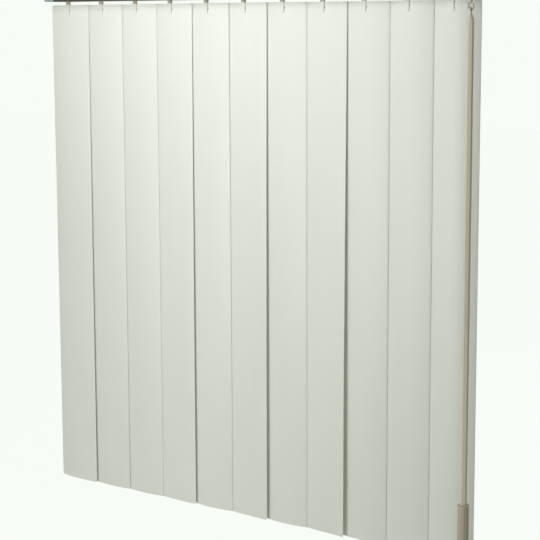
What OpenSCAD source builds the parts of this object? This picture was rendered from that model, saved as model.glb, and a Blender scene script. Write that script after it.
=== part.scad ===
// Vertical blind: eleven bowed plastic vanes hang closed from a shallow headrail and are turned by a wand.
// X runs along the headrail from left to right as seen from the room, the room lies on the minus Y side
// and Z points up. The origin lies on the ceiling, midway between the holes of the two brackets.
// The wand turns a hook, two pairs of bevels carry the turn to a six-sided rod in the headrail, and a worm
// in every carrier turns the stem that its vane hangs from.

/* [Vanes] */
// width of a vane across its chord
vane_width = 89; // [84:1:94]
// distance between neighbouring stems
vane_pitch = 76; // [70:1:78]
// length of a vane from top edge to foot
vane_length = 875; // [500:5:1600]
// thickness of the plastic sheet
vane_thickness = 0.8; // [0.5:0.1:0.9]
// rise of the vane's bow across its width
vane_bow = 5; // [4:0.5:9]
// gap between two vanes where they lap over each other when closed
lap_gap = 0.5; // [0.4:0.1:3]
// distance from the headrail's underside to the vane's top edge
vane_drop = 6; // [4:0.5:12]
// distance from the vane's top edge to the middle of its punched hole
hole_drop = 9; // [7:0.5:11]
// width of the punched hole
hole_width = 14; // [10:0.5:20]
// height of the punched hole
hole_height = 3.2; // [2.6:0.1:4]

/* [Headrail] */
// depth of the headrail from front to back
rail_depth = 45; // [44:1:56]
// height of the headrail
rail_height = 26; // [25:1:34]
// wall of the headrail
rail_wall = 1.2; // [0.8:0.1:1.6]
// width of the slot that the stems pass through
rail_slot = 12; // [10:0.5:16]
// rounding of the headrail's long edges
rail_edge = 1.5; // [0.8:0.1:2.4]
// depth of the side grooves that the brackets clip into
groove_depth = 1; // [0.6:0.1:1.4]
// height of the side grooves
groove_height = 2; // [1.7:0.1:2.6]
// distance from the headrail's top to the side grooves
groove_drop = 4.5; // [4:0.1:5]

/* [Brackets] */
// distance between the two ceiling holes
bracket_spacing = 500; // [300:10:600]
// thickness of the bracket's sheet
bracket_sheet = 1.5; // [1:0.1:1.6]
// length of a bracket along the headrail
bracket_length = 30; // [20:1:50]
// room for a screw head between bracket and headrail
bracket_room = 3.5; // [2.5:0.1:6]
// diameter of the ceiling hole
bracket_hole = 4.4; // [3.4:0.1:6]

/* [Left end cap] */
// length of the cap along the headrail
cap_length = 21; // [18:1:22]
// wall of the cap
cap_wall = 2; // [1.6:0.1:2.6]
// distance from the first vane's left edge to the cap's end
cap_inset = 8; // [0:0.5:9]
// outer diameter of the bearing for the tilt rod
cap_bearing = 10; // [8:0.5:12]

/* [Tongues and screws] */
// length of the tongues that reach into the headrail
tongue_length = 14; // [12:0.5:18]
// width of a tongue
tongue_width = 9; // [7:0.5:12]
// thickness of a tongue
tongue_thickness = 3; // [2:0.1:4]
// distance between the middles of the two tongues
tongue_spacing = 27; // [25:0.5:29]
// diameter of a screw's shank
screw_shank = 2.8; // [2.2:0.1:3]
// diameter of a screw's head
screw_head = 5.2; // [4.4:0.1:6]
// height of a screw's head
screw_head_height = 1.7; // [1.2:0.1:2.2]
// length of a headrail screw's shank
rail_screw_length = 6; // [4.5:0.5:7]
// length of a control head screw's shank
cover_screw_length = 21; // [19:0.5:24]

/* [Stems] */
// diameter of the stem's neck
neck_diameter = 8.4; // [8:0.1:9.4]
// width of the clip across the vane
clip_width = 7.4; // [6:0.1:7.6]
// thickness of one leg of the clip
clip_leg = 1.3; // [1:0.1:1.4]
// play of the vane between the legs
clip_play = 0.1; // [0.06:0.01:0.2]
// length of the front leg below the vane's top edge
clip_front = 17; // [13:0.5:24]
// length of the rear leg below the vane's top edge
clip_rear = 14; // [12:0.5:20]
// width of the nib that the vane hangs on
nib_width = 5; // [3:0.5:6]
// height of the nib
nib_height = 2.2; // [1.6:0.1:2.4]
// height of the stem's gear
gear_height = 7; // [6:0.5:8]

/* [Carriers] */
// length of a carrier's foot along the headrail
carrier_foot = 24; // [20:1:28]
// length of a carrier's body along the headrail
carrier_body = 20; // [18:0.5:22]
// height of a carrier
carrier_height = 17; // [16:0.5:18]
// height of a carrier's foot
foot_height = 6; // [4:0.5:8]
// thickness of the floor that the gear turns on
carrier_floor = 4; // [3:0.5:5]
// width of a carrier's body from front to back
body_width = 33; // [32:0.5:36]
// diameter of the pegs that the links hook on
peg_diameter = 2.4; // [1.8:0.1:3]
// height of the pegs
peg_height = 1.8; // [1.2:0.1:2.4]

/* [Links] */
// width of a link
link_width = 4.2; // [3.8:0.1:4.4]
// thickness of a link
link_thickness = 0.8; // [0.5:0.1:1]
// length of the slot that lets two carriers close up
link_slot = 52; // [40:1:56]

/* [Worms and tilt rod] */
// distance across the corners of the six-sided rod
rod_across = 4; // [3.4:0.1:4.2]
// diameter of the rod's round left end
rod_journal = 3; // [2.2:0.1:3.1]
// length of the rod's round left end
rod_journal_length = 10; // [8:0.5:12]
// length of the worm's thread
worm_thread = 8; // [6:0.5:8.5]
// radius of the worm's turning circle
worm_pitch_radius = 4; // [3.8:0.1:4.2]
// height of the thread above and below that circle
worm_lift = 0.9; // [0.7:0.05:1]
// diameter of the worm's two journals
worm_journal = 5.4; // [5:0.1:5.5]
// length of each journal
worm_journal_length = 3; // [2:0.5:3.5]

/* [Control head] */
// length of the control head along the headrail
head_length = 34; // [30:1:44]
// wall of the control head
head_wall = 1.6; // [1.2:0.1:2]
// thickness of the wall that carries the rod's bevel
head_bearing_wall = 3; // [2:0.1:3.4]
// distance of the wand's axis to the right of the last stem
hook_right = 50; // [44:0.5:54]
// distance of the wand's axis to the right of the headrail's end
hook_inset = 10; // [10:0.5:14]
// distance of the wand's axis in front of the stems
hook_front = 40; // [38:0.5:60]
// width of the nose that reaches out to the wand
nose_width = 20; // [18:0.5:24]
// thickness of the walls that carry the cross shaft
shaft_wall = 4; // [3:0.5:5]
// diameter of the cross shaft
cross_diameter = 5.2; // [4.4:0.1:5.6]
// diameter of the hubs behind the bevels
hub_diameter = 9.6; // [8:0.1:9.8]
// height of the hub of the hook's bevel
hook_hub = 1.75; // [1:0.05:2.5]
// thickness of the control head's floor
head_floor = 3.4; // [2:0.1:3.4]
// diameter of the boss round the hook's shank
boss_diameter = 12; // [10:0.5:16]
// height of that boss below the floor
boss_height = 2.5; // [2:0.5:6]

/* [Bevels] */
// turning radius of the bevels at their large end
bevel_radius = 6; // [5.6:0.1:6.2]
// length of the teeth along the axis
bevel_face = 2.6; // [2:0.1:2.8]
// height of a bevel tooth above the turning circle
bevel_rise = 0.7; // [0.5:0.05:0.8]
// depth of the gap below the turning circle
bevel_fall = 1; // [0.9:0.05:1.1]

/* [Wand] */
// diameter of the hook's shank
shank_diameter = 6; // [5:0.1:7]
// length of the shank below the boss
shank_length = 2.5; // [2:0.5:12]
// diameter of the hook's wire
wire_diameter = 3.2; // [2.4:0.1:3.4]
// radius of the hook's loop
loop_radius = 4; // [3.6:0.1:5]
// length of the hook's straight arms
loop_arm = 4.5; // [3:0.5:8]
// thickness of the eye at the wand's top
eye_thickness = 2.4; // [1.8:0.1:3]
// outer diameter of the eye
eye_diameter = 8.4; // [7.6:0.1:10]
// distance from the eye's middle to the six-sided part
wand_neck = 12.5; // [10:0.5:20]
// distance across the corners of the wand
wand_across = 10.5; // [8:0.5:13]
// turn of the wand's flats away from the plane of the blind
flat_turn = 24; // [0:1:59]
// distance from the eye's middle to the top of the grip
wand_length = 751; // [300:1:1500]
// diameter of the grip
grip_diameter = 18.5; // [17:0.5:22]
// length of the grip
grip_length = 100; // [60:1:160]
// depth of the socket in the grip
grip_socket = 40; // [20:1:50]
// height of the grip's collar
collar_height = 4; // [2:0.5:8]

/* [Clearances] */
// gap round a turning shaft
running_gap = 0.05; // [0.02:0.01:0.1]
// gap between pieces that pass each other
free_gap = 0.3; // [0.2:0.05:0.4]

/* [Hidden] */
$fn = 64;
vane_total = 11;

// one tooth every axial step of the worm, so eleven turns of the rod turn a stem once
gear_teeth = 11;
tooth_module = 1;
worm_step = PI * tooth_module;
gear_pitch_radius = gear_teeth * tooth_module / 2;
rod_y = -(gear_pitch_radius + worm_pitch_radius);
gear_tip_radius = gear_pitch_radius + 0.65 * tooth_module;
gear_root_radius = gear_pitch_radius - 1.2 * tooth_module;

// heights, from the ceiling down
rail_top = -(bracket_sheet + bracket_room);
rail_bottom = rail_top - rail_height;
track = rail_bottom + rail_wall;
thrust = track + carrier_floor;
rod_z = thrust + running_gap + gear_height / 2;
carrier_top = track + carrier_height;
groove_top = rail_top - groove_drop;
vane_top = rail_bottom - vane_drop;
tongue_top = rail_top - rail_wall;

// places along the headrail
function stem_x(i) = (i - (vane_total + 1) / 2) * vane_pitch;
cap_left = stem_x(1) - vane_width / 2 + cap_inset;
rail_left = cap_left + cap_length;
hook_x = stem_x(vane_total) + hook_right;
rail_right = hook_x - hook_inset;
hook_y = -hook_front;
head_right = rail_right + head_length;

// the vane's bow is an arc
half_width = vane_width / 2;
bow_radius = (half_width * half_width + vane_bow * vane_bow) / (2 * vane_bow);
bow_angle = asin(half_width / bow_radius);

// a vane's right edge clears the bowed face of the next vane by the lap's gap
function bow_depth(x) = bow_radius - sqrt(bow_radius * bow_radius - x * x);
bow_step = bow_depth(half_width) - bow_depth(vane_pitch - half_width);
lean = asin((lap_gap + vane_thickness + bow_step) / vane_pitch);
clip_gap = vane_thickness + 2 * (clip_play + bow_depth(clip_width / 2));

// control head, from the shafts' plane outwards
shaft_play = 0.4;
bevel_small = 1 - bevel_face / bevel_radius;
bevel_tip = bevel_radius + bevel_rise;
floor_top = rod_z - bevel_radius - hook_hub - running_gap;
floor_bottom = floor_top - head_floor;
boss_bottom = floor_bottom - boss_height;
rear_hub = 1.5;
rear_wall = rod_y - bevel_radius - rear_hub - shaft_play;
front_wall = hook_y + bevel_radius + rear_hub + shaft_play;
post_radius = screw_shank / 2 + 1.4;
nose_inside = nose_width / 2 - head_wall;
screw_posts = [
    [head_right - 7, rail_depth / 4],
    [hook_x + nose_inside - 0.7 * post_radius, (front_wall + rear_wall) / 2]
];

// hook and wand
wire = wire_diameter / 2;
bend = wire_diameter * 0.65;
shank_end = boss_bottom - shank_length;
bend_top = shank_end - 1.5;
loop_z = bend_top - 2 * bend - loop_arm;
pivot_z = loop_z - loop_radius;
eye_hole = wire + 0.5;
grip_top = pivot_z - wand_length;
foot_chamfer = 3;

function two_digits(i) = str(i < 10 ? "0" : "", i);
function vane_name(i) = str("vane_", two_digits(i));
function stem_name(i) = str("stem_", two_digits(i));
function carrier_name(i) = str("carrier_", two_digits(i));
function worm_name(i) = str("worm_", two_digits(i));
function on_circle(radius, angle) = [radius * cos(angle), radius * sin(angle)];
function backwards(points) = [for (k = [len(points) - 1 : -1 : 0]) points[k]];
function flipped(points) = [for (p = points) [-p[0], p[1]]];

// corners of one gear tooth, as radius and half of the tooth's thickness there
function tooth_corners(root, tip, thick_root, thick_tip) = [
    [root, -thick_root / 2],
    [tip, -thick_tip / 2],
    [tip, thick_tip / 2],
    [root, thick_root / 2]
];

// outline of a gear whose first tooth stands at the given angle
function gear_outline(teeth, first, root, tip, thick_root, thick_tip) = [
    for (k = [0 : teeth - 1])
        for (c = tooth_corners(root, tip, thick_root, thick_tip))
            on_circle(c[0], first + k * 360 / teeth + asin(c[1] / c[0]))
];

plastic_ivory = [0.93, 0.94, 0.90];
plastic_beige = [0.78, 0.74, 0.66];
plastic_taupe = [0.62, 0.58, 0.50];
plastic_blue_grey = [0.55, 0.61, 0.63];
plastic_white = [0.90, 0.90, 0.88];
metal_light = [0.80, 0.81, 0.82];
metal_dark = [0.55, 0.56, 0.58];

// a profile drawn in Y and Z, drawn out along the headrail
module along_rail(from, to) {
    translate([from, 0, 0])
        rotate([90, 0, 90])
            linear_extrude(height = to - from)
                children();
}

// a round bar or bore along X through the tilt rod's axis
module on_rod_axis(radius, from, to) {
    translate([from, rod_y, rod_z])
        rotate([0, 90, 0])
            cylinder(r = radius, h = to - from);
}

// a round bar or bore along Y through the cross shaft's axis
module on_cross_axis(radius, from, to) {
    translate([hook_x, from, rod_z])
        rotate([-90, 0, 0])
            cylinder(r = radius, h = to - from);
}

// a round bar or bore along the wand's axis
module on_hook_axis(radius, from, to) {
    translate([hook_x, hook_y, from])
        cylinder(r = radius, h = to - from);
}

// rectangle with round corners, from its lower left corner
module rounded_rectangle(size, radius) {
    translate([radius, 0])
        square([size[0] - 2 * radius, size[1]]);
    translate([0, radius])
        square([size[0], size[1] - 2 * radius]);
    for (x = [radius, size[0] - radius])
        for (y = [radius, size[1] - radius])
            translate([x, y])
                circle(r = radius);
}

// outside of the headrail, which the end cap carries on
module rail_outline() {
    translate([-rail_depth / 2, rail_bottom])
        rounded_rectangle([rail_depth, rail_height], rail_edge);
}

// bent wall of the headrail: outside and inside from the slot up to the top, then the same mirrored
module rail_profile() {
    side = rail_depth / 2;
    groove_bottom = groove_top - groove_height;
    inside = side - rail_wall;
    outer = [
        [rail_slot / 2, rail_bottom],
        [side, rail_bottom],
        [side, groove_bottom],
        [side - groove_depth, groove_bottom],
        [side - groove_depth, groove_top],
        [side, groove_top],
        [side, rail_top]
    ];
    inner = [
        [rail_slot / 2, track],
        [inside, track],
        [inside, groove_bottom - rail_wall],
        [inside - groove_depth, groove_bottom - rail_wall],
        [inside - groove_depth, groove_top + rail_wall],
        [inside, groove_top + rail_wall],
        [inside, rail_top - rail_wall]
    ];
    polygon(concat(outer, flipped(backwards(outer)), flipped(inner), backwards(inner)));
}

// the two tongues of an end piece, with the given hole for their screws
module tongues(from, to, screw_x) {
    for (side = [-1, 1])
        difference() {
            translate([from, side * tongue_spacing / 2 - tongue_width / 2, tongue_top - tongue_thickness])
                cube([to - from, tongue_width, tongue_thickness]);
            translate([screw_x, side * tongue_spacing / 2, tongue_top - 2 * tongue_thickness])
                cylinder(d = screw_shank + 2 * running_gap, h = 3 * tongue_thickness);
        }
}

// pan-head screw standing on its seat at z 0
module screw(length) {
    point = screw_shank / 2;
    rotate_extrude()
        polygon([
            [0, -length],
            [screw_shank / 2, point - length],
            [screw_shank / 2, 0],
            [screw_head / 2, 0],
            [screw_head / 2, screw_head_height * 0.5],
            [screw_head / 2 - screw_head_height * 0.5, screw_head_height],
            [0, screw_head_height]
        ]);
}

// bevel with its large end at z 0 and its teeth running to a point above it
module bevel(first) {
    root = bevel_radius - bevel_fall;
    linear_extrude(height = bevel_face, scale = bevel_small)
        polygon(gear_outline(12, first, root, bevel_tip, 0.28 * bevel_radius, 0.1 * bevel_radius));
}

module headrail() {
    screw_reach = tongue_length / 2;
    color(metal_light)
        difference() {
            along_rail(rail_left, rail_right)
                intersection() {
                    rail_outline();
                    rail_profile();
                }
            for (x = [rail_left + screw_reach, rail_right - screw_reach])
                for (side = [-1, 1])
                    translate([x, side * tongue_spacing / 2, rail_top - 2 * rail_wall])
                        cylinder(d = screw_shank + 2 * free_gap, h = 3 * rail_wall);
        }
}

// hollow cap that closes the headrail's left end and carries the rod's round end
module idle_end_cap() {
    bearing_end = cap_left + cap_wall + rod_journal_length;
    color(plastic_blue_grey)
        difference() {
            union() {
                difference() {
                    along_rail(cap_left, rail_left)
                        rail_outline();
                    along_rail(cap_left + cap_wall, rail_left + 1)
                        translate([-rail_depth / 2 + cap_wall, rail_bottom + cap_wall])
                            square([rail_depth - 2 * cap_wall, rail_height - 2 * cap_wall]);
                }
                on_rod_axis(cap_bearing / 2, cap_left + cap_wall / 2, bearing_end);
                tongues(rail_left - tongue_length / 2, rail_left + tongue_length, rail_left + tongue_length / 2);
            }
            on_rod_axis(rod_journal / 2 + running_gap, cap_left + cap_wall, bearing_end + 1);
        }
}

// plan of the control head, drawn in from its outside by the given wall
module head_plan(inset) {
    nose = nose_width / 2 - inset;
    left = inset > 0 ? head_bearing_wall : 0;
    translate([rail_right + left, -rail_depth / 2 + inset])
        square([head_length - left - inset, rail_depth - 2 * inset]);
    translate([hook_x - nose, hook_y])
        square([2 * nose, hook_front - rail_depth / 2 + 2 * head_wall]);
    translate([hook_x, hook_y])
        circle(r = nose);
}

// the whole control head with its bearings, before it is parted in the plane of the shafts
module head_shell() {
    difference() {
        union() {
            difference() {
                translate([0, 0, floor_bottom])
                    linear_extrude(height = rail_top - floor_bottom)
                        head_plan(0);
                translate([0, 0, floor_top])
                    linear_extrude(height = rail_top - head_wall - floor_top)
                        head_plan(head_wall);
            }
            for (wall = [rear_wall - shaft_wall, front_wall])
                translate([hook_x - nose_width / 2 + head_wall / 2, wall, floor_top - head_floor / 2])
                    cube([nose_width - head_wall, shaft_wall, rail_top - head_wall / 2 - floor_top + head_floor / 2]);
            for (post = screw_posts)
                translate([post[0], post[1], floor_top - head_floor / 2])
                    cylinder(r = post_radius, h = rail_top - head_wall / 2 - floor_top + head_floor / 2);
            on_hook_axis(boss_diameter / 2, boss_bottom, floor_top - head_floor / 2);
        }
        on_rod_axis(hub_diameter / 2 + running_gap, rail_right - 1, rail_right + head_bearing_wall + 1);
        on_cross_axis(cross_diameter / 2 + running_gap, front_wall - 1, rear_wall + 1);
        on_hook_axis(shank_diameter / 2 + running_gap, boss_bottom - 1, floor_top + 1);
        for (post = screw_posts) {
            translate([post[0], post[1], rod_z])
                cylinder(d = screw_shank + 2 * free_gap, h = rail_top - rod_z + 1);
            translate([post[0], post[1], floor_top])
                cylinder(d = screw_shank + 2 * running_gap, h = rod_z - floor_top);
        }
    }
}

// everything of the control head between two heights
module head_between(low, high) {
    margin = 10;
    intersection() {
        head_shell();
        translate([rail_right - margin, hook_y - nose_width, low])
            cube([head_length + 2 * margin, hook_front + nose_width + rail_depth, high - low]);
    }
}

module control_housing() {
    color(plastic_blue_grey)
        head_between(boss_bottom - 1, rod_z);
}

module control_cover() {
    color(plastic_blue_grey)
        union() {
            head_between(rod_z, rail_top + 1);
            tongues(rail_right - tongue_length, rail_right + head_bearing_wall / 2, rail_right - tongue_length / 2);
        }
}

// the bracket's bent sheet: ceiling plate, two legs and the lips that hold the headrail's grooves
module bracket_profile() {
    inner = rail_depth / 2;
    outer = inner + bracket_sheet;
    half = [
        [outer, 0],
        [outer, groove_top - bracket_sheet],
        [inner - groove_depth * 0.9, groove_top - bracket_sheet * 0.6],
        [inner - groove_depth * 0.9, groove_top],
        [inner, groove_top],
        [inner, -bracket_sheet]
    ];
    polygon(concat(half, flipped(backwards(half))));
}

module bracket(x) {
    color(metal_dark)
        difference() {
            along_rail(x - bracket_length / 2, x + bracket_length / 2)
                bracket_profile();
            translate([x, 0, -2 * bracket_sheet])
                cylinder(d = bracket_hole, h = 3 * bracket_sheet);
        }
}

module bracket_left() {
    bracket(-bracket_spacing / 2);
}

module bracket_right() {
    bracket(bracket_spacing / 2);
}

module rail_screws() {
    reach = tongue_length / 2;
    color(metal_dark)
        for (x = [rail_left + reach, rail_right - reach])
            for (side = [-1, 1])
                translate([x, side * tongue_spacing / 2, rail_top])
                    screw(rail_screw_length);
}

module cover_screws() {
    color(metal_dark)
        for (post = screw_posts)
            translate([post[0], post[1], rail_top])
                screw(cover_screw_length);
}

// Rows of pegs on the carriers: neighbouring links use the two rows in turn.
function peg_y(row) = gear_tip_radius + 3 + row * (link_width + free_gap);

// flat link with a hole at its left carrier and a slot that stops on the peg of its right carrier
module spacer_link(i) {
    left = stem_x(i);
    right = stem_x(i + 1);
    end = link_width / 2;
    hole = peg_diameter / 2 + running_gap;
    translate([0, peg_y(i % 2), carrier_top])
        linear_extrude(height = link_thickness)
            difference() {
                union() {
                    translate([left, -end])
                        square([right - left, link_width]);
                    translate([left, 0])
                        circle(r = end);
                    translate([right, 0])
                        circle(r = end);
                }
                translate([left, 0])
                    circle(r = hole);
                translate([right, 0])
                    circle(r = hole);
                translate([right - link_slot, 0])
                    circle(r = hole);
                translate([right - link_slot, -hole])
                    square([link_slot, 2 * hole]);
            }
}

module spacer_links() {
    color(metal_light)
        for (i = [1 : vane_total - 1])
            spacer_link(i);
}

// six-sided rod with a round left end
module tilt_rod() {
    journal_left = cap_left + cap_wall + free_gap;
    hexagon_left = cap_left + cap_wall + rod_journal_length + free_gap;
    color(metal_light)
        union() {
            on_rod_axis(rod_journal / 2, journal_left, hexagon_left);
            translate([hexagon_left, rod_y, rod_z])
                rotate([0, 90, 0])
                    linear_extrude(height = hook_x - bevel_radius + bevel_face - hexagon_left)
                        circle(d = rod_across, $fn = 6);
        }
}

// six-sided bore for the tilt rod
module rod_bore(from, to) {
    translate([from, rod_y, rod_z])
        rotate([0, 90, 0])
            linear_extrude(height = to - from)
                circle(r = rod_across / 2 + running_gap, $fn = 6);
}

module rod_bevel() {
    base = hook_x - bevel_radius;
    color(plastic_white)
        difference() {
            union() {
                translate([base, rod_y, rod_z])
                    rotate([0, 90, 0])
                        bevel(0);
                on_rod_axis(hub_diameter / 2, rail_right + free_gap, base);
            }
            rod_bore(rail_right - 1, base + bevel_face + 1);
        }
}

// cross shaft with a bevel at each end
module cross_shaft() {
    rear = rod_y - bevel_radius;
    front = hook_y + bevel_radius;
    color(plastic_white)
        union() {
            on_cross_axis(cross_diameter / 2, front, rear);
            on_cross_axis(hub_diameter / 2 - 1, rear - rear_hub, rear);
            on_cross_axis(hub_diameter / 2 - 1, front, front + rear_hub);
            translate([hook_x, rear, rod_z])
                rotate([-90, 0, 0])
                    bevel(15);
            translate([hook_x, front, rod_z])
                rotate([90, 0, 0])
                    bevel(0);
        }
}

// one bend of the hook's wire in the X and Z plane
module wire_bend(x, z, radius, start, sweep) {
    translate([hook_x + x, hook_y, z])
        rotate([90, 0, 0])
            rotate([0, 0, start])
                rotate_extrude(angle = sweep)
                    translate([radius, 0])
                        circle(r = wire);
}

// straight piece of the hook's wire
module wire_arm(x, from, to) {
    translate([hook_x + x, hook_y, from])
        cylinder(r = wire, h = to - from);
}

// bevel, shank and hook in one moulding
module wand_hook() {
    hub_bottom = floor_top + running_gap;
    color(plastic_taupe)
        union() {
            translate([hook_x, hook_y, rod_z - bevel_radius])
                bevel(15);
            on_hook_axis(hub_diameter / 2, hub_bottom, rod_z - bevel_radius);
            on_hook_axis(shank_diameter / 2, shank_end, hub_bottom);
            translate([hook_x, hook_y, bend_top])
                cylinder(r1 = wire, r2 = shank_diameter / 2, h = shank_end - bend_top);
            wire_bend(-bend, bend_top, bend, -90, 90);
            wire_bend(-bend, bend_top - 2 * bend, bend, 90, 90);
            wire_arm(-loop_radius, loop_z, bend_top - 2 * bend);
            wire_bend(0, loop_z, loop_radius, 180, 180);
            wire_arm(loop_radius, loop_z, loop_z + loop_arm);
            translate([hook_x + loop_radius, hook_y, loop_z + loop_arm])
                sphere(r = wire);
        }
}

// eye, tapered neck and six-sided rod in one moulding
module wand_rod() {
    neck_top = eye_diameter / 2;
    cone_top = neck_top + 0.5;
    color(plastic_taupe)
        translate([hook_x, hook_y, pivot_z])
            union() {
                difference() {
                    union() {
                        rotate([0, 90, 0])
                            cylinder(d = eye_diameter, h = eye_thickness, center = true);
                        translate([-eye_thickness / 2, -eye_diameter * 0.3, -cone_top - 1])
                            cube([eye_thickness, eye_diameter * 0.6, cone_top + 1 - eye_hole - 0.5]);
                    }
                    rotate([0, 90, 0])
                        cylinder(r = eye_hole, h = 2 * eye_thickness, center = true);
                }
                translate([0, 0, -wand_neck])
                    cylinder(r1 = wand_across * 0.43, r2 = eye_diameter * 0.3, h = wand_neck - cone_top);
                translate([0, 0, -wand_length - grip_socket])
                    linear_extrude(height = wand_length + grip_socket - wand_neck)
                        rotate(flat_turn)
                            circle(d = wand_across, $fn = 6);
            }
}

// fluted grip with a collar at the top and a socket for the wand
module wand_grip() {
    flutes = 12;
    flute = grip_diameter * 0.07;
    body = grip_diameter / 2 - 0.4;
    color(plastic_taupe)
        translate([hook_x, hook_y, grip_top])
            difference() {
                union() {
                    translate([0, 0, -collar_height])
                        cylinder(d = grip_diameter, h = collar_height);
                    translate([0, 0, -grip_length + foot_chamfer])
                        linear_extrude(height = grip_length - foot_chamfer - collar_height)
                            difference() {
                                circle(r = body);
                                for (k = [0 : flutes - 1])
                                    translate(on_circle(body + flute * 0.5, (k + 0.5) * 360 / flutes))
                                        circle(r = flute);
                            }
                    translate([0, 0, -grip_length])
                        cylinder(r1 = body - foot_chamfer, r2 = body - flute, h = foot_chamfer);
                }
                translate([0, 0, -grip_socket - free_gap])
                    linear_extrude(height = grip_socket + free_gap + 1)
                        rotate(flat_turn)
                            circle(r = wand_across / 2 + running_gap, $fn = 6);
            }
}

// front or rear half of the carrier's body above its foot, with a sloped shoulder
module carrier_profile(width, from, to, slope) {
    polygon([
        [-width / 2, from],
        [width / 2, from],
        [width / 2, to - slope],
        [width / 2 - slope, to],
        [-width / 2 + slope, to],
        [-width / 2, to - slope]
    ]);
}

// upright trough that takes a round piece lowered in from above
module trough(radius, half_length) {
    translate([-half_length, rod_y, rod_z])
        rotate([0, 90, 0])
            cylinder(r = radius, h = 2 * half_length);
    translate([-half_length, rod_y - radius, rod_z])
        cube([2 * half_length, 2 * radius, carrier_top - rod_z + 1]);
}

// gliding carrier with a bearing for one stem and its worm
module carrier(i) {
    foot_width = rail_depth - 2 * (rail_wall + groove_depth + free_gap);
    keel_width = rail_slot - 2 * free_gap;
    keel_depth = rail_wall * 0.8;
    slope = 1.5;
    color(plastic_white)
        translate([stem_x(i), 0, 0])
            difference() {
                union() {
                    along_rail(-carrier_foot / 2, carrier_foot / 2) {
                        carrier_profile(foot_width, track, track + foot_height, slope);
                        translate([-keel_width / 2, track - keel_depth])
                            square([keel_width, 2 * keel_depth]);
                    }
                    along_rail(-carrier_body / 2, carrier_body / 2)
                        carrier_profile(body_width, track + foot_height / 2, carrier_top, 0);
                    for (row = [0, 1])
                        translate([0, peg_y(row), carrier_top - 1])
                            cylinder(d = peg_diameter, h = peg_height + 1);
                }
                translate([0, 0, thrust])
                    cylinder(r = gear_tip_radius + free_gap, h = carrier_top - thrust + 1);
                translate([0, 0, track - 2 * keel_depth])
                    cylinder(d = neck_diameter + 2 * running_gap, h = carrier_floor + 3 * keel_depth);
                trough(worm_pitch_radius + worm_lift + free_gap, worm_thread / 2 + free_gap);
                trough(worm_journal / 2 + running_gap, worm_thread / 2 + worm_journal_length + free_gap);
                on_rod_axis(rod_across / 2 + free_gap, -carrier_foot, carrier_foot);
            }
}

// left-handed single thread made by twisting a circle that stands off the axis
module worm(i) {
    turn = 360 * worm_thread / worm_step;
    reach = worm_thread / 2 + worm_journal_length;
    core = worm_thread / 4;
    color(plastic_beige)
        difference() {
            union() {
                translate([stem_x(i), rod_y, rod_z])
                    rotate([0, 90, 0])
                        rotate([0, 0, turn / 2])
                            linear_extrude(height = worm_thread, twist = turn, slices = 28, center = true, $fn = 12)
                                translate([0, worm_lift])
                                    circle(r = worm_pitch_radius);
                on_rod_axis(worm_journal / 2, stem_x(i) - reach, stem_x(i) - core);
                on_rod_axis(worm_journal / 2, stem_x(i) + core, stem_x(i) + reach);
            }
            rod_bore(stem_x(i) - reach - 1, stem_x(i) + reach + 1);
        }
}

// the clip's two legs from the side, with the bridge that joins them above the vane
module clip_profile() {
    inner = clip_gap / 2;
    outer = inner + clip_leg;
    lead = clip_leg * 0.7;
    polygon([
        [-outer, vane_drop / 2],
        [outer, vane_drop / 2],
        [outer, -clip_rear],
        [inner + lead, -clip_rear],
        [inner, -clip_rear + 2 * lead],
        [inner, free_gap],
        [-inner, free_gap],
        [-inner, -clip_front + 2 * lead],
        [-inner - lead, -clip_front],
        [-outer, -clip_front]
    ]);
}

// gear, neck and clip in one moulding
module stem(i) {
    gear_bottom = thrust + running_gap;
    nib_top = hole_height / 2 - hole_drop;
    neck_bottom = vane_top + vane_drop / 2 - 1;
    color(plastic_beige)
        translate([stem_x(i), 0, 0])
            union() {
                translate([0, 0, gear_bottom])
                    linear_extrude(height = gear_height)
                        polygon(gear_outline(gear_teeth, 90, gear_root_radius, gear_tip_radius, 1.7, 0.5));
                translate([0, 0, neck_bottom])
                    cylinder(d = neck_diameter, h = gear_bottom - neck_bottom);
                translate([0, 0, vane_top])
                    rotate([0, 0, -lean]) {
                        translate([-clip_width / 2, 0, 0])
                            rotate([90, 0, 90])
                                linear_extrude(height = clip_width)
                                    clip_profile();
                        translate([-nib_width / 2, -clip_gap / 2 - 0.2, nib_top - nib_height])
                            cube([nib_width, clip_gap + 0.4, nib_height]);
                    }
            }
}

// punched hole with round ends, from front to back through the vane
module punched_hole() {
    side = hole_width / 2 - hole_height / 2;
    rotate([90, 0, 0])
        linear_extrude(height = 4 * vane_thickness, center = true) {
            square([2 * side, hole_height], center = true);
            for (x = [-side, side])
                translate([x, 0])
                    circle(d = hole_height);
        }
}

// bowed strip, hollow towards the window, with its stem at the middle of the bow
module vane(i) {
    color(plastic_ivory)
        translate([stem_x(i), 0, vane_top])
            rotate([0, 0, -lean])
                difference() {
                    translate([0, bow_radius, -vane_length])
                        rotate([0, 0, -90 - bow_angle])
                            rotate_extrude(angle = 2 * bow_angle)
                                translate([bow_radius - vane_thickness / 2, 0])
                                    square([vane_thickness, vane_length]);
                    translate([0, 0, -hole_drop])
                        punched_hole();
                }
}

headrail();
idle_end_cap();
control_housing();
control_cover();
bracket_left();
bracket_right();
rail_screws();
cover_screws();
spacer_links();
tilt_rod();
rod_bevel();
cross_shaft();
wand_hook();
wand_rod();
wand_grip();
for (i = [1 : vane_total]) {
    carrier(i);
    worm(i);
    stem(i);
    vane(i);
}
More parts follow.
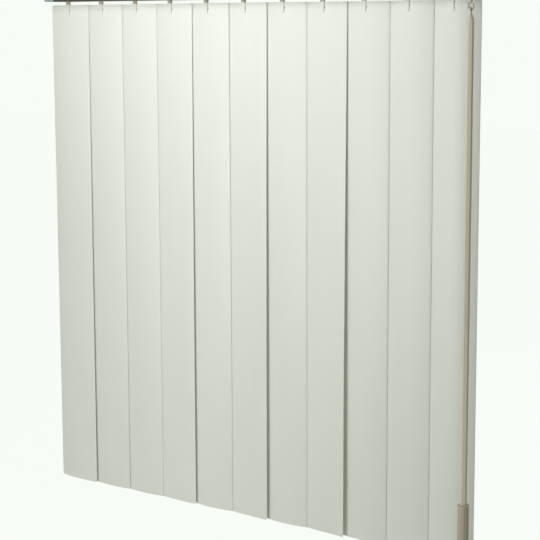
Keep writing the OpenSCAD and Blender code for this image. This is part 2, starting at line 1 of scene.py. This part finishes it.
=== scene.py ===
# %% [markdown]
# # A vertical blind with eleven plastic vanes
#
# A vertical blind hangs from a ceiling: a shallow rail holds a row of carriers, each carrier turns a stem,
# and each stem carries a long bowed strip of plastic, a vane. The rail, the gears and the wand were made
# beforehand as exact solids. This lesson loads them as a fixed frame, gives every piece the finish of its
# real plastic or metal, and makes the vanes anew, with the round edges that a plain solid lacks.

import math

import bpy
import numpy as np
from mathutils import Matrix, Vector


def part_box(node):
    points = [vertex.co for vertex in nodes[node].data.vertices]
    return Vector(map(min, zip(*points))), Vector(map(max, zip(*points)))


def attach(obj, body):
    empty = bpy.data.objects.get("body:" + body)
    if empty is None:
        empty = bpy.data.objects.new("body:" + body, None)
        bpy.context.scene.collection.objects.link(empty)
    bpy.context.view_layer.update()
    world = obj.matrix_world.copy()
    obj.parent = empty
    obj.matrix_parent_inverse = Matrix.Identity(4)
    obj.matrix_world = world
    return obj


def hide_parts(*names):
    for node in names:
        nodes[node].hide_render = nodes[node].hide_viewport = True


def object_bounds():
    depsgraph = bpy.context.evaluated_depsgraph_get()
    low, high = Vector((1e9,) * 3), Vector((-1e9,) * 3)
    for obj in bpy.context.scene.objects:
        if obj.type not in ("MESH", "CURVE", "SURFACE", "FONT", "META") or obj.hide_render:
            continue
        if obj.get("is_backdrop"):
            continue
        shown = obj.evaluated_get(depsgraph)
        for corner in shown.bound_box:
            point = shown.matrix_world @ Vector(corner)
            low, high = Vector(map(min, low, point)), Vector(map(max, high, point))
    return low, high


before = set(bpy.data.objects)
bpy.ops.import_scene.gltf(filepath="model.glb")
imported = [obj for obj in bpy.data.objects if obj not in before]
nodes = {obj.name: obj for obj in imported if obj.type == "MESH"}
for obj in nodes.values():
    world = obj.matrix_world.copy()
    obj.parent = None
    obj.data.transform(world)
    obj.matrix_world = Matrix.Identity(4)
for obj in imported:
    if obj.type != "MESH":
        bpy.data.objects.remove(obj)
cad_low, cad_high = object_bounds()
print("box in metres:", [round(b - a, 4) for a, b in zip(cad_low, cad_high)])

# %% [markdown]
# ## The camera
#
# The photograph was taken from the right of the blind, at the height of its top, so the tops of the vanes run
# nearly level and their feet drop towards the right. A lens shifted far down would keep the uprights
# parallel, but every other view keeps that shift and would lose the top of the blind. So a long lens looks
# down a little, and its shift is small. The numbers come from lining up the edges of the vanes, so they are
# written out here and not found by eye.

# %% Place the camera
PICTURE_PIXELS, FOCAL_PIXELS = 540, 1450.0
SENSOR, LENS_SHIFT, FARTHEST = 36.0, -0.08, 60.0
CAMERA_PLACE = (1.3658, -1.9904, -0.0732)
TURNED_LEFT, TURNED_DOWN, ROLLED = 0.5840, 0.1384, -0.0038


def facing(left, down, roll):
    """Axes of a camera that looks along +Y, turned left and down by two angles and then rolled about its
    own line of sight. The columns are right, up and back."""
    right = np.array([math.cos(left), math.sin(left), 0.0])
    ahead = np.array([-math.sin(left) * math.cos(down), math.cos(left) * math.cos(down), -math.sin(down)])
    up = np.cross(right, ahead)
    columns = [
        right * math.cos(roll) + up * math.sin(roll),
        up * math.cos(roll) - right * math.sin(roll),
        -ahead,
    ]
    return Matrix(np.array(columns).T.tolist()).to_4x4()


lens = bpy.data.cameras.new("camera")
lens.sensor_width = SENSOR
lens.lens = SENSOR * FOCAL_PIXELS / PICTURE_PIXELS
lens.shift_y = LENS_SHIFT
lens.clip_end = FARTHEST
camera = bpy.data.objects.new("camera", lens)
bpy.context.collection.objects.link(camera)
camera.matrix_world = Matrix.Translation(CAMERA_PLACE) @ facing(TURNED_LEFT, TURNED_DOWN, ROLLED)
bpy.context.scene.camera = camera
bpy.context.scene.view_settings.view_transform = "Standard"
print("camera: lens", round(lens.lens, 1), "mm, shift", round(lens.shift_y, 3))

# %% [markdown]
# ## Arithmetic with shader sockets
#
# A material is a graph of small nodes. Written one node at a time, a simple formula takes a dozen lines,
# so one class holds a socket and turns Python's sums and products into Math nodes. Its one other method
# makes any node from its type, its settings and its inputs. The reflected operators let an expression
# start with a plain number.

# %% Wrap a socket
class Wire:
    """An output socket of a node tree. Sums and products of wires and numbers add Math nodes."""

    def __init__(self, tree, socket=None):
        self.tree, self.socket = tree, socket

    def node(self, kind, settings, inputs, out=0):
        """Makes a node of this kind, applies its settings, fills its inputs with values or links, and
        returns one of its outputs."""
        made = self.tree.nodes.new(kind)
        for name, value in settings.items():
            setattr(made, name, value)
        for name, value in inputs.items():
            if isinstance(value, Wire):
                self.tree.links.new(value.socket, made.inputs[name])
            else:
                made.inputs[name].default_value = value
        return Wire(self.tree, made.outputs[out])

    def __add__(self, other):
        return self.node("ShaderNodeMath", {"operation": "ADD"}, {0: self, 1: other})

    def __mul__(self, other):
        return self.node("ShaderNodeMath", {"operation": "MULTIPLY"}, {0: self, 1: other})

    __radd__, __rmul__ = __add__, __mul__


def colour(red, green, blue):
    """Linear colour with full alpha from the 0 to 255 numbers of a picture, by the usual curve of a screen:
    a straight line near black, and a power of 2.4 above it."""
    share = np.array([red, green, blue]) / 255.0
    linear = np.where(share <= 0.04045, share / 12.92, ((share + 0.055) / 1.055) ** 2.4)
    return (*linear.tolist(), 1.0)


print("a middle grey of 128 is", round(colour(128, 128, 128)[0], 3), "in linear light")

# %% [markdown]
# ## Patterns that every finish shares
#
# Moulded and extruded pieces are never perfectly even. Two patterns cover most of it: a cloudy noise for
# the slow change of tone, and a noise stretched along one axis for the fine lines that a die leaves. Both
# read Object coordinates, in metres, because every piece sits at the origin and keeps its place in its
# mesh, so the pattern stays put when the piece turns.

# %% Clouds, tints and bumps
EVEN = (1.0, 1.0, 1.0)


def new_finish(name, metallic=0.0, specular=0.5):
    """An empty material with its Principled shader, the constants set on the shader itself, and a wire for
    its tree."""
    material = bpy.data.materials.new(name)
    material.use_nodes = True
    shader = material.node_tree.nodes["Principled BSDF"]
    shader.inputs["Metallic"].default_value = metallic
    shader.inputs["Specular IOR Level"].default_value = specular
    return material, shader, Wire(material.node_tree)


def clouds(wire, size, detail=2.0, stretch=EVEN):
    """Noise between 0 and 1 whose spots are about this size in metres, drawn out along an axis where the
    stretch is below one."""
    place = wire.node("ShaderNodeTexCoord", {}, {}, "Object")
    place = wire.node("ShaderNodeVectorMath", {"operation": "MULTIPLY"}, {0: place, 1: stretch})
    noise = {"Vector": place, "Scale": 1.0 / size, "Detail": detail, "Roughness": 0.55}
    return wire.node("ShaderNodeTexNoise", {}, noise, 0)


def tint(wire, dark, light, share):
    """Colour between two colours, by a wire that runs from 0 to 1."""
    return wire.node("ShaderNodeMix", {"data_type": "RGBA"}, {0: share, 6: dark, 7: light}, 2)


def bump(wire, height, depth):
    """Normal bent by a height field of this depth in metres."""
    return wire.node("ShaderNodeBump", {}, {"Height": height, "Distance": depth, "Strength": 1.0})


def connect(shader, **sockets):
    """Links wires to the shader's inputs, whose names are written with underscores for spaces."""
    for name, wire in sockets.items():
        wire.tree.links.new(wire.socket, shader.inputs[name.replace("_", " ")])


print("patterns:", clouds.__name__, tint.__name__, bump.__name__)

# %% [markdown]
# ## Ivory plastic for the vanes
#
# The vanes are extruded in ivory vinyl: satin, slightly greenish in the photograph, with faint lines along
# their length from the die. A flat white would look like paper. Here two close ivories are mixed by a
# large cloud, the lines are a noise drawn out a hundred times along Z, and the lines also bend the normal
# and vary the roughness, so that a highlight breaks up softly.

# %% Finish of the vanes
IVORY_DARK, IVORY_LIGHT = colour(217, 220, 206), colour(229, 232, 221)
IVORY_CLOUD, DIE_LINE, SPECK = 0.22, 0.0016, 0.0006
LINE_DEPTH = 0.00006


def vane_finish():
    """Extruded vinyl: a slow cloud, lines along Z and a fine speckle, which share out the two ivories."""
    material, shader, wire = new_finish("ivory_vinyl", specular=0.45)
    tone = clouds(wire, IVORY_CLOUD, 3.0, (1.0, 1.0, 0.35))
    lines = clouds(wire, DIE_LINE, 2.0, (1.0, 1.0, 0.01))
    speckle = clouds(wire, SPECK, 1.0)
    connect(
        shader,
        Base_Color=tint(wire, IVORY_DARK, IVORY_LIGHT, tone * 0.75 + lines * 0.2 + speckle * 0.05),
        Roughness=lines * 0.10 + tone * 0.08 + 0.34,
        Normal=bump(wire, lines * 0.8 + speckle * 0.2, LINE_DEPTH),
    )
    return material


vane_plastic = vane_finish()
print("finish:", vane_plastic.name)

# %% [markdown]
# ## The other plastics
#
# Wand, hook, caps, carriers and gears are moulded in tinted plastic. Moulded plastic has a fine grain from
# the mould's spark-eroded wall and small changes of tone where it flowed. One function makes them all from
# two tones, a roughness and a grain size, because they differ only in those. The wand was extruded, so its
# grain is drawn out along its length.

# %% Finishes of moulded pieces
FLOW_CLOUD, GRAIN_DEPTH = 0.03, 0.00004
ALONG_WAND = (1.0, 1.0, 0.02)


def moulded(name, dark, light, roughness, grain, stretch=EVEN):
    """Moulded plastic: a slow change between two tones, a grain that bends the normal, and a roughness that
    follows both."""
    material, shader, wire = new_finish(name)
    tone = clouds(wire, FLOW_CLOUD, 3.0, stretch)
    pores = clouds(wire, grain, 2.0, stretch)
    connect(
        shader,
        Base_Color=tint(wire, colour(*dark), colour(*light), tone * 0.8 + pores * 0.2),
        Roughness=pores * 0.14 + tone * 0.06 + (roughness - 0.1),
        Normal=bump(wire, pores, GRAIN_DEPTH),
    )
    return material


wand_plastic = moulded("taupe_wand", (202, 193, 167), (219, 211, 186), 0.30, 0.0009, ALONG_WAND)
hook_plastic = moulded("beige_hook", (186, 173, 153), (206, 194, 175), 0.34, 0.0008)
grip_plastic = moulded("taupe_grip", (176, 166, 144), (194, 185, 163), 0.42, 0.0006)
cap_plastic = moulded("blue_grey_cap", (128, 143, 150), (146, 161, 167), 0.44, 0.0006)
carrier_plastic = moulded("white_nylon", (206, 207, 200), (226, 226, 219), 0.40, 0.0007)
gear_plastic = moulded("acetal", (219, 214, 196), (233, 229, 214), 0.30, 0.0006)
plastics = (wand_plastic, hook_plastic, grip_plastic, cap_plastic, carrier_plastic, gear_plastic)
print("finishes:", [plastic.name for plastic in plastics])

# %% [markdown]
# ## Clear stems
#
# The stems are moulded in clear plastic. In front of the ivory vane such a clip can hardly be seen, so it is
# given the vane's ivory. The neck above it sits in the rail's shade, and its tan is painted shade. Real
# refraction would need many light paths for a piece a few pixels wide, so the finish goes from ivory to the
# painted shade at the vane's top.

# %% Finish of the stems, with painted shade on the neck
CLIP_DARK, CLIP_LIGHT = colour(214, 217, 202), colour(226, 229, 217)
# The neck's two tans are painted shade, for the shade that the rail casts on the neck.
NECK_SHADE_DARK, NECK_SHADE_LIGHT = colour(172, 164, 144), colour(194, 187, 168)
STEM_CLOUD, STEM_GRAIN = 0.008, 0.0008
IVORY_UNTIL, SHADE_FROM = -0.001, 0.002


def stem_finish():
    """Clear plastic by height: the vane's ivory up to just below the vane's top edge and a tan painted shade
    from just above it, with a smooth step between, and the grain of moulded pieces."""
    material, shader, wire = new_finish("stem_with_painted_shade")
    vane_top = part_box("vane_06")[1][2]
    place = wire.node("ShaderNodeTexCoord", {}, {}, "Object")
    height = wire.node("ShaderNodeSeparateXYZ", {}, {0: place}, "Z")
    step = {0: height, 1: vane_top + IVORY_UNTIL, 2: vane_top + SHADE_FROM}
    above = wire.node("ShaderNodeMapRange", {"interpolation_type": "SMOOTHSTEP"}, step)
    tone, pores = clouds(wire, STEM_CLOUD, 3.0), clouds(wire, STEM_GRAIN, 2.0)
    mixed = tone * 0.7 + pores * 0.3
    # The neck's tint is painted shade; the clip's tint is the vane's ivory.
    clip, shaded_neck = tint(wire, CLIP_DARK, CLIP_LIGHT, mixed), tint(wire, NECK_SHADE_DARK, NECK_SHADE_LIGHT, mixed)
    connect(
        shader,
        Base_Color=tint(wire, clip, shaded_neck, above),
        Roughness=pores * 0.12 + tone * 0.06 + 0.26,
        Normal=bump(wire, pores, GRAIN_DEPTH),
    )
    return material


stem_plastic = stem_finish()
print("finish:", stem_plastic.name)

# %% [markdown]
# ## Drawn metal
#
# The rail is extruded aluminium and the rod is drawn aluminium. The rail's dark tone is painted shade: it
# stands in for the shade under the rail. Both show lines along the direction in which they were pulled, which
# is X here. An anisotropic shader would stretch the highlights without showing a line, so the lines are noise
# drawn out along X, which changes the tone, the roughness and the normal together.

# %% Finishes of rail and rod
METAL_HAZE, DRAWN_DEPTH = 0.05, 0.00003


def drawn_metal(name, dark, light, roughness, line):
    """Drawn metal: lines along X that change tone, roughness and normal together."""
    material, shader, wire = new_finish(name, metallic=1.0)
    lines = clouds(wire, line, 3.0, (0.01, 1.0, 1.0))
    haze = clouds(wire, METAL_HAZE, 2.0)
    connect(
        shader,
        Base_Color=tint(wire, colour(*dark), colour(*light), lines * 0.6 + haze * 0.4),
        Roughness=lines * 0.16 + haze * 0.08 + (roughness - 0.12),
        Normal=bump(wire, lines, DRAWN_DEPTH),
    )
    return material


# The rail's dark tones are painted shade, for the shade under the rail.
rail_metal_painted_shade = drawn_metal("rail_in_painted_shade", (70, 66, 59), (90, 86, 78), 0.44, 0.0011)
rod_metal = drawn_metal("rod_aluminium", (188, 189, 188), (214, 214, 212), 0.30, 0.0005)
print("finishes:", rail_metal_painted_shade.name, rod_metal.name)

# %% [markdown]
# ## Zinc plating
#
# Screws and ceiling brackets are steel with a coat of zinc, which sets in small pale crystals. They could be
# painted by hand, but a Voronoi pattern gives cells of one tone each, as crystals have, and a cloud over
# them keeps the cells from looking like tiles.

# %% Finish of screws and brackets
ZINC_HAZE, ZINC_DEPTH, CRYSTALS_PER_METRE = 0.012, 0.00002, 420.0


def plated_metal(name, dark, light, roughness):
    """Zinc plating: pale crystals a few millimetres wide over a cloudy ground."""
    material, shader, wire = new_finish(name, metallic=1.0)
    place = wire.node("ShaderNodeTexCoord", {}, {}, "Object")
    cells = {"Vector": place, "Scale": CRYSTALS_PER_METRE}
    crystal = wire.node("ShaderNodeTexVoronoi", {"feature": "F1"}, cells, "Color")
    flake = wire.node("ShaderNodeSeparateColor", {}, {0: crystal}, 0)
    haze = clouds(wire, ZINC_HAZE, 3.0)
    connect(
        shader,
        Base_Color=tint(wire, colour(*dark), colour(*light), flake * 0.5 + haze * 0.5),
        Roughness=flake * 0.12 + haze * 0.1 + (roughness - 0.1),
        Normal=bump(wire, haze, ZINC_DEPTH),
    )
    return material


steel = plated_metal("zinc_plate", (146, 148, 150), (190, 191, 190), 0.36)
print("finish:", steel.name)

# %% [markdown]
# ## Dress the frame
#
# Every solid of the frame keeps its shape and its place, and only its material slot gets a new finish. The
# names say which finish a piece has, so a table of name beginnings is enough.

# %% Give each node its finish
FINISHES = {
    # The headrail's dark tone is painted shade.
    "headrail": rail_metal_painted_shade, "tilt_rod": rod_metal, "spacer_links": rod_metal,
    "bracket": steel, "rail_screws": steel, "cover_screws": steel,
    "idle_end_cap": cap_plastic, "control": cap_plastic,
    "rod_bevel": gear_plastic, "cross_shaft": gear_plastic, "worm": gear_plastic,
    "carrier": carrier_plastic, "stem": stem_plastic, "vane": vane_plastic,
    "wand_hook": hook_plastic, "wand_rod": wand_plastic, "wand_grip": grip_plastic,
}
for name, solid in nodes.items():
    finish = next(made for start, made in FINISHES.items() if name.startswith(start))
    for slot in solid.material_slots:
        slot.material = finish
print("dressed", len(nodes), "nodes")

# %% [markdown]
# ## Size and lean of the vanes
#
# Closed vanes lap: the right edge of each lies just in front of its neighbour, so every vane leans a little.
# Width, pitch, bow and gap are those of the solids, and the length is read from a solid's box. The bow's
# radius and the lean could be measured on the solids too, but they follow from these sizes, which shows
# the reader where they come from.

# %% Sizes of a vane
VANES, MIDDLE_VANE = 11, 6
PITCH, WIDTH, BOW, THICK, LAP_GAP = 0.076, 0.089, 0.005, 0.0008, 0.0005
HALF = WIDTH / 2
vane_low, vane_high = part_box("vane_06")
TOP, LENGTH = vane_high[2], vane_high[2] - vane_low[2]


def bow_depth(radius, from_middle):
    """Depth of an arc of this radius at a distance from its middle: the side of a right-angled triangle."""
    return math.sqrt(radius ** 2 - from_middle ** 2)


ARC = (HALF ** 2 + BOW ** 2) / (2 * BOW)
SWEEP = math.asin(HALF / ARC)
bow_step = bow_depth(ARC, PITCH - HALF) - bow_depth(ARC, HALF)
LEAN = math.asin((LAP_GAP + THICK + bow_step) / PITCH)
print("vane: length", round(LENGTH, 4), "m, radius", round(ARC, 4), "m, lean", round(LEAN, 4), "rad")

# %% [markdown]
# ## The loop round a vane
#
# A bent plane with a Solidify modifier would have square edges. Real vanes are round there and catch a thin
# line of light, which tells the eye that they are plastic. So a vane is one closed surface: a loop runs
# along the front, round the right edge, back along the rear and round the left edge, and is carried down
# the length. Near both ends the loop is narrowed, which cuts the corners round.

# %% Loop and corners
HOLE_DROP, HOLE_WIDTH, HOLE_HEIGHT, HOLE_MARGIN = 0.009, 0.014, 0.0032, 0.001
HALF_HOLE, HOLE_ROUND = HOLE_WIDTH / 2, HOLE_HEIGHT / 2
EDGE_POINTS, CORNER = 5, 0.003
PLAIN_COLUMNS, PLAIN_UNTIL = 9, 0.19

at_hole = np.array([HALF_HOLE + HOLE_MARGIN, HALF_HOLE, HALF_HOLE / 3]) / HALF
left_side = -np.concatenate([np.linspace(1.0, PLAIN_UNTIL, PLAIN_COLUMNS), at_hole])
SIDE = np.concatenate([left_side, -left_side[::-1]])


def across():
    """Angles and radii of the loop round a vane. The front runs left to right at the outer radius, a half
    circle goes round the right edge, the rear runs back at the inner radius and a half circle closes the
    left edge."""
    flat = SWEEP - THICK / 2 / ARC
    front = flat * SIDE
    turn = np.linspace(0.0, math.pi, EDGE_POINTS + 2)[1:-1]
    edge = np.sin(turn) * THICK / 2 / ARC
    angle = np.concatenate([front, flat + edge, front[::-1], -flat - edge])
    depth = np.concatenate([np.ones_like(front), np.cos(turn), -np.ones_like(front), -np.cos(turn)])
    return angle, ARC + depth * THICK / 2


def cut_corner(down):
    """Share of the width that is left at each height: near both ends it follows a quarter circle of the
    corner's radius."""
    into = np.clip(CORNER - np.minimum(down, LENGTH - down), 0.0, CORNER)
    return 1.0 - (CORNER - np.sqrt(CORNER ** 2 - into ** 2)) / HALF


print("loop:", len(across()[0]), "points, of which", len(SIDE), "on each face")

# %% [markdown]
# ## The punched hole
#
# Near its top a vane is punched with a slot for the stem's clip. A Boolean would cut it too, but leaves
# long thin faces on a curved sheet. Here the rows of the grid crowd together at the hole, and two columns
# of the front and two of the rear are moved onto its round ends, so the faces between them can be left out.

# %% Rows of the grid and rim of the hole
CORNER_ROWS, HOLE_ROWS, LONG_ROWS = 6, 9, 24
BELOW_HOLE, LONG_FROM, LONG_UNTIL = (0.004, 0.02), 0.05, 0.03
quarter = np.linspace(0.0, math.pi / 2, CORNER_ROWS)
DOWN = np.concatenate([
    CORNER * (1 - np.cos(quarter)),
    HOLE_DROP + np.linspace(-1.0, 1.0, HOLE_ROWS) * HOLE_ROUND,
    HOLE_DROP + HOLE_ROUND + np.array(BELOW_HOLE),
    np.linspace(LONG_FROM, LENGTH - LONG_UNTIL, LONG_ROWS),
    LENGTH - CORNER * (1 - np.cos(quarter[::-1])),
])
COLUMNS = len(SIDE)
FIRST = int(np.argmin(np.abs(SIDE * HALF + HALF_HOLE)))
LAST = COLUMNS - 1 - FIRST
REAR = 2 * COLUMNS + EDGE_POINTS - 1
ROWS = np.flatnonzero(np.abs(DOWN - HOLE_DROP) <= HOLE_ROUND + 1e-9)


def grid():
    """Angles and radii on the grid of rows by places round the loop. At the hole's rows the two rim columns
    stand where the slot's half circles are: half its straight length plus the half chord at that height. A
    rear column's number is REAR less that of the front column before it."""
    angle, radius = across()
    angle = angle[None, :] * cut_corner(DOWN)[:, None]
    chord = np.sqrt(np.maximum(HOLE_ROUND ** 2 - (DOWN[ROWS] - HOLE_DROP) ** 2, 0.0))
    reach = (HALF_HOLE - HOLE_ROUND + chord) / ARC
    angle[ROWS, FIRST], angle[ROWS, LAST] = -reach, reach
    angle[ROWS, REAR - FIRST], angle[ROWS, REAR - LAST] = -reach, reach
    return angle, np.repeat(radius[None, :], len(DOWN), axis=0)


print("grid:", grid()[0].shape, "hole between columns", FIRST, "and", LAST, "on", len(ROWS), "rows")

# %% [markdown]
# ## The warp of each vane
#
# Long thin plastic never hangs quite true. In the photograph the right edges of four vanes stand off the
# next vane, more so towards the foot, and leave a dark line there, while others lie close. Turning the
# whole vane would open its other edge too, so only the right half bends, by the square of the distance
# from the middle. The table gives how far each right edge stands forward at the top and at the foot. The
# last vane's edge curls back a little, which darkens it as the shade behind the wand does.

# %% Points of a vane
STANDS_OFF = {
    1: (0.0, 0.0034), 3: (-0.0002, -0.0002), 4: (0.0004, 0.0042), 5: (0.0004, -0.0004),
    6: (0.0010, 0.0064), 7: (-0.0003, -0.0004), 8: (0.0006, 0.0082), 9: (-0.0004, -0.0002),
    10: (-0.0004, -0.0004), 11: (-0.0065, -0.0065),
}
WINDING, WINDING_STEP, WINDING_START = 0.2, 2.1, 0.4


def vane_points(number):
    """Points of one vane: an arc by angle and radius, less the standing off, turned by the lean and by a
    winding of a fraction of a degree that grows with the square of the height, and moved to its stem."""
    angle, radius = grid()
    fallen = DOWN / LENGTH
    at_top, at_foot = STANDS_OFF.get(number, (0.0, 0.0))
    off = at_top + (at_foot - at_top) * np.sin(math.pi / 2 * fallen)
    wind = math.radians(WINDING * math.sin(WINDING_STEP * number + WINDING_START)) * fallen ** 2
    turn = (wind - LEAN)[:, None]
    x = radius * np.sin(angle)
    y = ARC - radius * np.cos(angle) - off[:, None] * np.clip(angle / SWEEP, 0.0, None) ** 2
    return np.stack([
        x * np.cos(turn) - y * np.sin(turn) + (number - MIDDLE_VANE) * PITCH,
        x * np.sin(turn) + y * np.cos(turn),
        np.repeat((TOP - DOWN)[:, None], angle.shape[1], axis=1),
    ], axis=2).reshape(-1, 3)


print("one vane:", len(vane_points(MIDDLE_VANE)), "points")

# %% [markdown]
# ## The faces of a vane
#
# All vanes share one list of faces. Quads join neighbouring points of the grid, except at the hole, where a
# wall joins the rim in front to the rim behind. Both ends are closed with a strip of quads and a small
# face over each round edge, so the sheet is watertight and could be printed.

# %% Faces of a vane
LOOP = 2 * (COLUMNS + EDGE_POINTS)
SPOT = np.arange(len(DOWN) * LOOP).reshape(len(DOWN), LOOP)


def sides():
    """Quads that join each point of the grid to the next on its loop and to the row below, but for those
    inside the hole."""
    after = np.roll(SPOT, -1, axis=1)
    quads = np.stack([SPOT[:-1], SPOT[1:], after[1:], after[:-1]], axis=2)
    keep = np.ones(quads.shape[:2], bool)
    keep[ROWS[0]:ROWS[-1], FIRST:LAST] = False
    keep[ROWS[0]:ROWS[-1], REAR - LAST:REAR - FIRST] = False
    return quads[keep]


def hole_wall():
    """Quads between the rim in front and the rim behind, walking along the hole's top, down its right end,
    back along its foot and up its left end."""
    wide, high = LAST - FIRST, len(ROWS) - 1
    rows = [np.full(wide, ROWS[0]), ROWS[:-1], np.full(wide, ROWS[-1]), ROWS[:0:-1]]
    columns = [np.arange(FIRST, LAST), np.full(high, LAST), np.arange(LAST, FIRST, -1), np.full(high, FIRST)]
    rows, columns = np.concatenate(rows), np.concatenate(columns)
    front, back = SPOT[rows, columns], SPOT[rows, REAR - columns]
    return np.stack([front, np.roll(front, -1), np.roll(back, -1), back], axis=1)


def both_ends(top):
    """Faces over the top, and the same faces over the foot, which are a whole grid lower and turned over."""
    return np.concatenate([top, (top + SPOT[-1, 0])[:, ::-1]])


pair = np.arange(COLUMNS - 1)
strip = both_ends(np.stack([pair, pair + 1, REAR - pair - 1, REAR - pair], axis=1))
right_round = np.arange(COLUMNS - 1, COLUMNS + EDGE_POINTS + 1)
left_round = np.append(np.arange(REAR, REAR + EDGE_POINTS + 1), 0)
rounds = both_ends(np.stack([right_round, left_round]))
faces = np.concatenate([sides(), hole_wall(), strip]).tolist() + rounds.tolist()
print("one vane:", len(faces), "faces, of which", len(rounds), "close its round edges")

# %% [markdown]
# ## The eleven vanes
#
# Each vane becomes an object of its own, because each hangs on its own stem and turns with it. It stands for
# the plain solid of the same number, which stays hidden for collisions. Smooth shading with sharp edges
# above a limit keeps the round edges soft and the cut ends crisp.

# %% Make the vanes
SHARP_ABOVE = math.radians(50)

for number in range(1, VANES + 1):
    mesh = bpy.data.meshes.new(f"vane_sheet_{number:02d}")
    mesh.from_pydata(vane_points(number).tolist(), [], faces)
    mesh.validate()
    mesh.shade_smooth()
    mesh.set_sharp_from_angle(angle=SHARP_ABOVE)
    sheet = bpy.data.objects.new(mesh.name, mesh)
    bpy.context.collection.objects.link(sheet)
    sheet.data.materials.append(vane_plastic)
    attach(sheet, f"vane_set_{number:02d}")
    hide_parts(f"vane_{number:02d}")
print("made", VANES, "vanes")

# %% [markdown]
# ## Floor
#
# The photograph shows the blind alone on an even white. More light would make a floor that white, but would
# bleach the vanes too. So the floor glows in the background's own white where the camera or a reflection
# sees it, and is a plain pale floor to the light. It lies well below the foot of the vanes and keeps a
# little of its own shading, so that the blind's shadow still shows faintly.

# %% Make the floor
WHITE, PALE = colour(247, 252, 246), colour(236, 238, 234)
FLOOR_GLOW, GLOW_SHARE, FLOOR_ROUGHNESS = 1.02, 0.97, 0.9
FLOOR_SPAN, FLOOR_HEIGHT = 12.0, -1.15


def seen_directly(wire):
    """One where a ray comes from the camera, a reflection or a clear piece, and nought where it carries
    light: the sum of the three, at most one."""
    kinds = ("Is Camera Ray", "Is Glossy Ray", "Is Transmission Ray")
    rays = [wire.node("ShaderNodeLightPath", {}, {}, kind) for kind in kinds]
    return wire.node("ShaderNodeMath", {"operation": "MINIMUM"}, {0: rays[0] + rays[1] + rays[2], 1: 1.0})


floor_finish, floor_shader, wire = new_finish("pale_floor")
floor_shader.inputs["Base Color"].default_value = PALE
floor_shader.inputs["Roughness"].default_value = FLOOR_ROUGHNESS
glow = wire.node("ShaderNodeEmission", {}, {"Color": WHITE, "Strength": FLOOR_GLOW})
shaded = Wire(wire.tree, floor_shader.outputs[0])
shown = wire.node("ShaderNodeMixShader", {}, {0: seen_directly(wire) * GLOW_SHARE, 1: shaded, 2: glow})
wire.tree.links.new(shown.socket, wire.tree.nodes["Material Output"].inputs["Surface"])

corners = np.array([[-1, -1], [1, -1], [1, 1], [-1, 1]]) * FLOOR_SPAN
floor_mesh = bpy.data.meshes.new("floor")
floor_mesh.from_pydata(np.column_stack([corners, np.full(4, FLOOR_HEIGHT)]).tolist(), [], [(0, 1, 2, 3)])
floor_mesh.materials.append(floor_finish)
floor = bpy.data.objects.new("floor", floor_mesh)
bpy.context.collection.objects.link(floor)
floor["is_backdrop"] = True
print("floor at", FLOOR_HEIGHT)

# %% [markdown]
# ## White background
#
# Above the floor the camera sees the world. It has the same white there, and in reflections, so that no
# horizon shows. A world of full strength would light the blind from all sides and wash out the dark lines
# between the vanes, so it is dimmer where it only carries light.

# %% Make the world
SKY, SKY_LIGHT = colour(236, 240, 240), 0.14

world = bpy.data.worlds.new("studio")
bpy.context.scene.world = world
world.use_nodes = True
wire = Wire(world.node_tree)
sky = world.node_tree.nodes["Background"]
seen = seen_directly(wire)
wire.tree.links.new(tint(wire, SKY, WHITE, seen).socket, sky.inputs["Color"])
wire.tree.links.new((seen * (1.0 - SKY_LIGHT) + SKY_LIGHT).socket, sky.inputs["Strength"])
print("world: strength 1 where seen,", SKY_LIGHT, "as light")

# %% [markdown]
# ## Light
#
# One large soft lamp stands in front, a little to the left, and lights the vanes evenly. A wide low one hangs
# above it and nearer, so that the upper middle is brightest, and a vane that stands off the next one leaves
# a dark line. A lamp on the right keeps the wand and the edges that face it readable, and one behind lights
# the rear.

# %% Place the lamps
PLAIN, COOL = (1.0, 1.0, 1.0), (0.95, 0.95, 1.0)
LAMPS = {  # place, target, width and height in metres, power in watts, tone
    "key": ((-0.20, -1.25, -0.5), (-0.1, 0.0, -0.7), 0.7, 0.7, 7.7, PLAIN),
    "top": ((-0.09, -0.53, 0.14), (-0.09, 0.0, -0.04), 0.8, 0.4, 2.97, COOL),
    "fill": ((1.5, -2.2, 0.2), (0.1, 0.0, -0.4), 1.2, 1.2, 4.0, PLAIN),
    "back": ((0.4, 2.2, 0.1), (0.0, 0.0, -0.45), 1.4, 1.4, 22.0, PLAIN),
}


def soft_lamp(name, place, target, wide, high, power, tone):
    """Area lamp at a place, turned so that its back points away from a target and its width is level."""
    light = bpy.data.lights.new(name, "AREA")
    light.shape, light.size, light.size_y = "RECTANGLE", wide, high
    light.energy, light.color = power, tone
    lamp = bpy.data.objects.new(name, light)
    bpy.context.collection.objects.link(lamp)
    back = np.subtract(place, target)
    back = back / np.linalg.norm(back)
    right = np.cross([0.0, 0.0, 1.0], back)
    right = right / np.linalg.norm(right)
    axes = np.array([right, np.cross(back, right), back]).T.tolist()
    lamp.matrix_world = Matrix.Translation(place) @ Matrix(axes).to_4x4()


for name, settings in LAMPS.items():
    soft_lamp(name, *settings)
print("lamps:", list(LAMPS))

# %% [markdown]
# ## The boxes at the end
#
# The two boxes are written down first, so that the dressed blind can be compared with its solids.

# %% Write the sizes and finish
new_low, new_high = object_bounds()
grown = [round(max(a - c, d - b, 0.0), 5) for a, b, c, d in zip(cad_low, cad_high, new_low, new_high)]
print("box grew by", grown)
